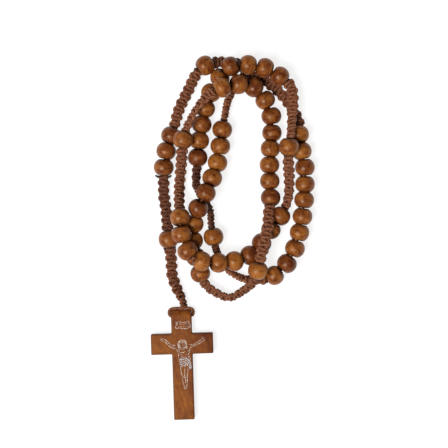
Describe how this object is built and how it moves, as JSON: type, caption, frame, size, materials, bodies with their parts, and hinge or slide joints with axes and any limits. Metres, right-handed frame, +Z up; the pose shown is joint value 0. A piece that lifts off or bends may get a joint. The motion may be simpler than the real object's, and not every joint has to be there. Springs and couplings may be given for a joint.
{
  "type": "rosary",
  "caption": "Rosary of turned wooden beads strung on a square-knotted cord: a closed loop with a short pendant that ends in a wooden cross, lying in a loose heap.",
  "frame": {"origin": "on the table, under the middle of the beads and the cross", "axes": "+Z up from the table, +Y from the cross towards the far end of the heap, +X to the right of that"},
  "size_m": [0.0673, 0.1491, 0.0154],
  "materials": {
    "bead_wood": "stained and varnished, semi-gloss",
    "cross_wood": "stained and varnished, satin",
    "cord": "braided synthetic cord, matt",
    "print": "pale grey screen print"
  },
  "bodies": {
    "cord": {"cord": "cord"},
    "cross": {"cross": "cross_wood"},
    "decade_1_bead_01": {"decade_1_bead_01": "bead_wood"},
    "decade_1_bead_02": {"decade_1_bead_02": "bead_wood"},
    "decade_1_bead_03": {"decade_1_bead_03": "bead_wood"},
    "decade_1_bead_04": {"decade_1_bead_04": "bead_wood"},
    "decade_1_bead_05": {"decade_1_bead_05": "bead_wood"},
    "decade_1_bead_06": {"decade_1_bead_06": "bead_wood"},
    "decade_1_bead_07": {"decade_1_bead_07": "bead_wood"},
    "decade_1_bead_08": {"decade_1_bead_08": "bead_wood"},
    "decade_1_bead_09": {"decade_1_bead_09": "bead_wood"},
    "decade_1_bead_10": {"decade_1_bead_10": "bead_wood"},
    "decade_2_bead_01": {"decade_2_bead_01": "bead_wood"},
    "decade_2_bead_02": {"decade_2_bead_02": "bead_wood"},
    "decade_2_bead_03": {"decade_2_bead_03": "bead_wood"},
    "decade_2_bead_04": {"decade_2_bead_04": "bead_wood"},
    "decade_2_bead_05": {"decade_2_bead_05": "bead_wood"},
    "decade_2_bead_06": {"decade_2_bead_06": "bead_wood"},
    "decade_2_bead_07": {"decade_2_bead_07": "bead_wood"},
    "decade_2_bead_08": {"decade_2_bead_08": "bead_wood"},
    "decade_2_bead_09": {"decade_2_bead_09": "bead_wood"},
    "decade_2_bead_10": {"decade_2_bead_10": "bead_wood"},
    "decade_3_bead_01": {"decade_3_bead_01": "bead_wood"},
    "decade_3_bead_02": {"decade_3_bead_02": "bead_wood"},
    "decade_3_bead_03": {"decade_3_bead_03": "bead_wood"},
    "decade_3_bead_04": {"decade_3_bead_04": "bead_wood"},
    "decade_3_bead_05": {"decade_3_bead_05": "bead_wood"},
    "decade_3_bead_06": {"decade_3_bead_06": "bead_wood"},
    "decade_3_bead_07": {"decade_3_bead_07": "bead_wood"},
    "decade_3_bead_08": {"decade_3_bead_08": "bead_wood"},
    "decade_3_bead_09": {"decade_3_bead_09": "bead_wood"},
    "decade_3_bead_10": {"decade_3_bead_10": "bead_wood"},
    "decade_4_bead_01": {"decade_4_bead_01": "bead_wood"},
    "decade_4_bead_02": {"decade_4_bead_02": "bead_wood"},
    "decade_4_bead_03": {"decade_4_bead_03": "bead_wood"},
    "decade_4_bead_04": {"decade_4_bead_04": "bead_wood"},
    "decade_4_bead_05": {"decade_4_bead_05": "bead_wood"},
    "decade_4_bead_06": {"decade_4_bead_06": "bead_wood"},
    "decade_4_bead_07": {"decade_4_bead_07": "bead_wood"},
    "decade_4_bead_08": {"decade_4_bead_08": "bead_wood"},
    "decade_4_bead_09": {"decade_4_bead_09": "bead_wood"},
    "decade_4_bead_10": {"decade_4_bead_10": "bead_wood"},
    "decade_5_bead_01": {"decade_5_bead_01": "bead_wood"},
    "decade_5_bead_02": {"decade_5_bead_02": "bead_wood"},
    "decade_5_bead_03": {"decade_5_bead_03": "bead_wood"},
    "decade_5_bead_04": {"decade_5_bead_04": "bead_wood"},
    "decade_5_bead_05": {"decade_5_bead_05": "bead_wood"},
    "decade_5_bead_06_and_07": {"decade_5_bead_06_and_07": "bead_wood"},
    "decade_5_bead_08": {"decade_5_bead_08": "bead_wood"},
    "decade_5_bead_09": {"decade_5_bead_09": "bead_wood"},
    "decade_5_bead_10": {"decade_5_bead_10": "bead_wood"},
    "our_father_bead_1": {"our_father_bead_1": "bead_wood"},
    "our_father_bead_2": {"our_father_bead_2": "bead_wood"},
    "our_father_bead_3": {"our_father_bead_3": "bead_wood"},
    "our_father_bead_4": {"our_father_bead_4": "bead_wood"},
    "our_father_bead_5": {"our_father_bead_5": "bead_wood"},
    "our_father_bead_6": {"our_father_bead_6": "bead_wood"},
    "pendant_bead_1": {"pendant_bead_1": "bead_wood"},
    "pendant_bead_2": {"pendant_bead_2": "bead_wood"},
    "pendant_bead_3": {"pendant_bead_3": "bead_wood"}
  },
  "joints": [
    {"name": "cross_swing", "type": "hinge", "parent": "cord", "child": "cross", "pos_m": [-0.0213, -0.0318, 0.00225], "axis": [-0.9995, -0.0314, 0], "range_deg": [0, 105]},
    {"name": "decade_1_bead_01_spin", "type": "hinge", "parent": "cord", "child": "decade_1_bead_01", "pos_m": [-0.00445, 0.04447, 0.00405], "axis": [-0.153, -0.9814, 0.1159], "continuous": true},
    {"name": "decade_1_bead_02_spin", "type": "hinge", "parent": "cord", "child": "decade_1_bead_02", "pos_m": [-0.00523, 0.0377, 0.00408], "axis": [-0.1015, -0.9936, -0.0491], "continuous": true},
    {"name": "decade_1_bead_03_spin", "type": "hinge", "parent": "cord", "child": "decade_1_bead_03", "pos_m": [-0.00637, 0.03088, 0.00424], "axis": [-0.2588, -0.9568, 0.1329], "continuous": true},
    {"name": "decade_1_bead_04_spin", "type": "hinge", "parent": "cord", "child": "decade_1_bead_04", "pos_m": [-0.00851, 0.02456, 0.00585], "axis": [-0.3256, -0.8898, 0.3198], "continuous": true},
    {"name": "decade_1_bead_05_spin", "type": "hinge", "parent": "cord", "child": "decade_1_bead_05", "pos_m": [-0.01113, 0.01842, 0.00763], "axis": [-0.4587, -0.8815, 0.1124], "continuous": true},
    {"name": "decade_1_bead_06_spin", "type": "hinge", "parent": "cord", "child": "decade_1_bead_06", "pos_m": [-0.01427, 0.01213, 0.00685], "axis": [-0.363, -0.8723, -0.3276], "continuous": true},
    {"name": "decade_1_bead_07_spin", "type": "hinge", "parent": "cord", "child": "decade_1_bead_07", "pos_m": [-0.01613, 0.00586, 0.00468], "axis": [-0.1626, -0.9654, -0.2039], "continuous": true},
    {"name": "decade_1_bead_08_spin", "type": "hinge", "parent": "cord", "child": "decade_1_bead_08", "pos_m": [-0.01633, -0.0011, 0.00403], "axis": [0.0963, -0.9953, -0.008], "continuous": true},
    {"name": "decade_1_bead_09_spin", "type": "hinge", "parent": "cord", "child": "decade_1_bead_09", "pos_m": [-0.01525, -0.00778, 0.00424], "axis": [0.2098, -0.9767, 0.0457], "continuous": true},
    {"name": "decade_1_bead_10_spin", "type": "hinge", "parent": "cord", "child": "decade_1_bead_10", "pos_m": [-0.01345, -0.01445, 0.00403], "axis": [0.3187, -0.9323, -0.1711], "continuous": true},
    {"name": "decade_2_bead_01_spin", "type": "hinge", "parent": "cord", "child": "decade_2_bead_01", "pos_m": [0.01535, 0.01655, 0.0045], "axis": [0.0368, 0.9716, -0.2337], "continuous": true},
    {"name": "decade_2_bead_02_spin", "type": "hinge", "parent": "cord", "child": "decade_2_bead_02", "pos_m": [0.01503, 0.02336, 0.00399], "axis": [-0.0515, 0.9987, -0.0028], "continuous": true},
    {"name": "decade_2_bead_03_spin", "type": "hinge", "parent": "cord", "child": "decade_2_bead_03", "pos_m": [0.01494, 0.02999, 0.00399], "axis": [0.014, 0.9999, 0.0047], "continuous": true},
    {"name": "decade_2_bead_04_spin", "type": "hinge", "parent": "cord", "child": "decade_2_bead_04", "pos_m": [0.0153, 0.03662, 0.00398], "axis": [0.0955, 0.9954, -0.0056], "continuous": true},
    {"name": "decade_2_bead_05_spin", "type": "hinge", "parent": "cord", "child": "decade_2_bead_05", "pos_m": [0.01593, 0.04314, 0.00395], "axis": [0.0784, 0.9969, -0.0011], "continuous": true},
    {"name": "decade_2_bead_06_spin", "type": "hinge", "parent": "cord", "child": "decade_2_bead_06", "pos_m": [0.01568, 0.05002, 0.00403], "axis": [-0.1932, 0.9809, 0.0224], "continuous": true},
    {"name": "decade_2_bead_07_spin", "type": "hinge", "parent": "cord", "child": "decade_2_bead_07", "pos_m": [0.01314, 0.05649, 0.00456], "axis": [-0.4974, 0.8533, 0.1563], "continuous": true},
    {"name": "decade_2_bead_08_spin", "type": "hinge", "parent": "cord", "child": "decade_2_bead_08", "pos_m": [0.0085, 0.06144, 0.00648], "axis": [-0.8187, 0.4188, 0.3929], "continuous": true},
    {"name": "decade_2_bead_09_spin", "type": "hinge", "parent": "cord", "child": "decade_2_bead_09", "pos_m": [0.0022, 0.06242, 0.00944], "axis": [-0.9259, -0.0592, 0.3732], "continuous": true},
    {"name": "decade_2_bead_10_spin", "type": "hinge", "parent": "cord", "child": "decade_2_bead_10", "pos_m": [-0.00447, 0.0609, 0.0111], "axis": [-0.927, -0.3732, 0.0361], "continuous": true},
    {"name": "decade_3_bead_01_spin", "type": "hinge", "parent": "cord", "child": "decade_3_bead_01", "pos_m": [-0.02153, 0.00842, 0.01024], "axis": [0.0544, -0.9554, 0.2902], "continuous": true},
    {"name": "decade_3_bead_02_spin", "type": "hinge", "parent": "cord", "child": "decade_3_bead_02", "pos_m": [-0.02099, 0.00153, 0.01086], "axis": [0.1609, -0.9864, 0.0333], "continuous": true},
    {"name": "decade_3_bead_03_spin", "type": "hinge", "parent": "cord", "child": "decade_3_bead_03", "pos_m": [-0.01848, -0.00511, 0.01145], "axis": [0.585, -0.8071, 0.0793], "continuous": true},
    {"name": "decade_3_bead_04_spin", "type": "hinge", "parent": "cord", "child": "decade_3_bead_04", "pos_m": [-0.01268, -0.00932, 0.01138], "axis": [0.9339, -0.3222, -0.1551], "continuous": true},
    {"name": "decade_3_bead_05_spin", "type": "hinge", "parent": "cord", "child": "decade_3_bead_05", "pos_m": [-0.00594, -0.01003, 0.00936], "axis": [0.9415, 0.0398, -0.3347], "continuous": true},
    {"name": "decade_3_bead_06_spin", "type": "hinge", "parent": "cord", "child": "decade_3_bead_06", "pos_m": [0.00049, -0.00938, 0.00717], "axis": [0.9323, 0.1752, -0.3164], "continuous": true},
    {"name": "decade_3_bead_07_spin", "type": "hinge", "parent": "cord", "child": "decade_3_bead_07", "pos_m": [0.00679, -0.00711, 0.00494], "axis": [0.8168, 0.515, -0.2601], "continuous": true},
    {"name": "decade_3_bead_08_spin", "type": "hinge", "parent": "cord", "child": "decade_3_bead_08", "pos_m": [0.0117, -0.00204, 0.00406], "axis": [0.5771, 0.8162, -0.028], "continuous": true},
    {"name": "decade_3_bead_09_spin", "type": "hinge", "parent": "cord", "child": "decade_3_bead_09", "pos_m": [0.01551, 0.00345, 0.00404], "axis": [0.5851, 0.8106, 0.0231], "continuous": true},
    {"name": "decade_3_bead_10_spin", "type": "hinge", "parent": "cord", "child": "decade_3_bead_10", "pos_m": [0.01943, 0.00902, 0.00402], "axis": [0.5293, 0.841, -0.1115], "continuous": true},
    {"name": "decade_4_bead_01_spin", "type": "hinge", "parent": "cord", "child": "decade_4_bead_01", "pos_m": [0.01898, 0.06599, 0.00644], "axis": [-0.8144, 0.575, 0.0784], "continuous": true},
    {"name": "decade_4_bead_02_spin", "type": "hinge", "parent": "cord", "child": "decade_4_bead_02", "pos_m": [0.01291, 0.06936, 0.00687], "axis": [-0.939, 0.3314, 0.0922], "continuous": true},
    {"name": "decade_4_bead_03_spin", "type": "hinge", "parent": "cord", "child": "decade_4_bead_03", "pos_m": [0.00609, 0.0705, 0.00775], "axis": [-0.9893, 0.0545, 0.1351], "continuous": true},
    {"name": "decade_4_bead_04_spin", "type": "hinge", "parent": "cord", "child": "decade_4_bead_04", "pos_m": [-0.00095, 0.06986, 0.00795], "axis": [-0.8991, -0.3649, -0.2416], "continuous": true},
    {"name": "decade_4_bead_05_spin", "type": "hinge", "parent": "cord", "child": "decade_4_bead_05", "pos_m": [-0.0054, 0.06555, 0.00474], "axis": [-0.5099, -0.7567, -0.4091], "continuous": true},
    {"name": "decade_4_bead_06_spin", "type": "hinge", "parent": "cord", "child": "decade_4_bead_06", "pos_m": [-0.0091, 0.0596, 0.00393], "axis": [-0.4384, -0.8979, 0.0391], "continuous": true},
    {"name": "decade_4_bead_07_spin", "type": "hinge", "parent": "cord", "child": "decade_4_bead_07", "pos_m": [-0.01139, 0.0531, 0.00399], "axis": [-0.2552, -0.9669, -0.0016], "continuous": true},
    {"name": "decade_4_bead_08_spin", "type": "hinge", "parent": "cord", "child": "decade_4_bead_08", "pos_m": [-0.01286, 0.04656, 0.00401], "axis": [-0.1856, -0.9825, 0.0147], "continuous": true},
    {"name": "decade_4_bead_09_spin", "type": "hinge", "parent": "cord", "child": "decade_4_bead_09", "pos_m": [-0.01384, 0.03991, 0.00426], "axis": [-0.1073, -0.9931, 0.0474], "continuous": true},
    {"name": "decade_4_bead_10_spin", "type": "hinge", "parent": "cord", "child": "decade_4_bead_10", "pos_m": [-0.0145, 0.03303, 0.00402], "axis": [-0.093, -0.9791, -0.181], "continuous": true},
    {"name": "decade_5_bead_01_spin", "type": "hinge", "parent": "cord", "child": "decade_5_bead_01", "pos_m": [0.01692, -0.0153, 0.00408], "axis": [0.8452, 0.5107, 0.1576], "continuous": true},
    {"name": "decade_5_bead_02_spin", "type": "hinge", "parent": "cord", "child": "decade_5_bead_02", "pos_m": [0.02205, -0.01043, 0.00407], "axis": [0.5987, 0.7997, -0.0448], "continuous": true},
    {"name": "decade_5_bead_03_spin", "type": "hinge", "parent": "cord", "child": "decade_5_bead_03", "pos_m": [0.02534, -0.00426, 0.004], "axis": [0.3446, 0.9387, 0.0026], "continuous": true},
    {"name": "decade_5_bead_04_spin", "type": "hinge", "parent": "cord", "child": "decade_5_bead_04", "pos_m": [0.02721, 0.00227, 0.004], "axis": [0.2202, 0.9755, 0], "continuous": true},
    {"name": "decade_5_bead_05_spin", "type": "hinge", "parent": "cord", "child": "decade_5_bead_05", "pos_m": [0.02845, 0.00886, 0.004], "axis": [0.1462, 0.9893, 0], "continuous": true},
    {"name": "decade_5_bead_06_and_07_spin", "type": "hinge", "parent": "cord", "child": "decade_5_bead_06_and_07", "pos_m": [0.02931, 0.01886, 0.004], "axis": [0.0534, 0.9986, 0], "continuous": true},
    {"name": "decade_5_bead_08_spin", "type": "hinge", "parent": "cord", "child": "decade_5_bead_08", "pos_m": [0.02943, 0.02897, 0.004], "axis": [-0.1008, 0.9949, -0.0015], "continuous": true},
    {"name": "decade_5_bead_09_spin", "type": "hinge", "parent": "cord", "child": "decade_5_bead_09", "pos_m": [0.02813, 0.03561, 0.00404], "axis": [-0.2168, 0.9758, 0.0289], "continuous": true},
    {"name": "decade_5_bead_10_spin", "type": "hinge", "parent": "cord", "child": "decade_5_bead_10", "pos_m": [0.02713, 0.04247, 0.00397], "axis": [-0.0397, 0.9867, -0.1576], "continuous": true},
    {"name": "our_father_bead_1_spin", "type": "hinge", "parent": "cord", "child": "our_father_bead_1", "pos_m": [-0.02648, -0.00049, 0.004], "axis": [-0.1149, 0.9932, 0.02], "continuous": true},
    {"name": "our_father_bead_2_spin", "type": "hinge", "parent": "cord", "child": "our_father_bead_2", "pos_m": [-0.01138, 0.07042, 0.00625], "axis": [0.8481, 0.5171, -0.1156], "continuous": true},
    {"name": "our_father_bead_3_spin", "type": "hinge", "parent": "cord", "child": "our_father_bead_3", "pos_m": [0.01002, -0.01307, 0.00889], "axis": [0.1927, 0.945, 0.2641], "continuous": true},
    {"name": "our_father_bead_4_spin", "type": "hinge", "parent": "cord", "child": "our_father_bead_4", "pos_m": [-0.02033, 0.03998, 0.00982], "axis": [-0.1885, -0.9783, -0.0864], "continuous": true},
    {"name": "our_father_bead_5_spin", "type": "hinge", "parent": "cord", "child": "our_father_bead_5", "pos_m": [0.0226, 0.03701, 0.00969], "axis": [0.0953, 0.9897, 0.1064], "continuous": true},
    {"name": "our_father_bead_6_spin", "type": "hinge", "parent": "cord", "child": "our_father_bead_6", "pos_m": [-0.00804, 0.00051, 0.00404], "axis": [0.1886, -0.9811, -0.0435], "continuous": true},
    {"name": "pendant_bead_1_spin", "type": "hinge", "parent": "cord", "child": "pendant_bead_1", "pos_m": [-0.02842, 0.02901, 0.00406], "axis": [0.0638, 0.9943, 0.0851], "continuous": true},
    {"name": "pendant_bead_2_spin", "type": "hinge", "parent": "cord", "child": "pendant_bead_2", "pos_m": [-0.0274, 0.03564, 0.00407], "axis": [0.234, 0.9722, 0.0028], "continuous": true},
    {"name": "pendant_bead_3_spin", "type": "hinge", "parent": "cord", "child": "pendant_bead_3", "pos_m": [-0.0255, 0.04198, 0.00404], "axis": [0.3157, 0.944, -0.0958], "continuous": true}
  ]
}
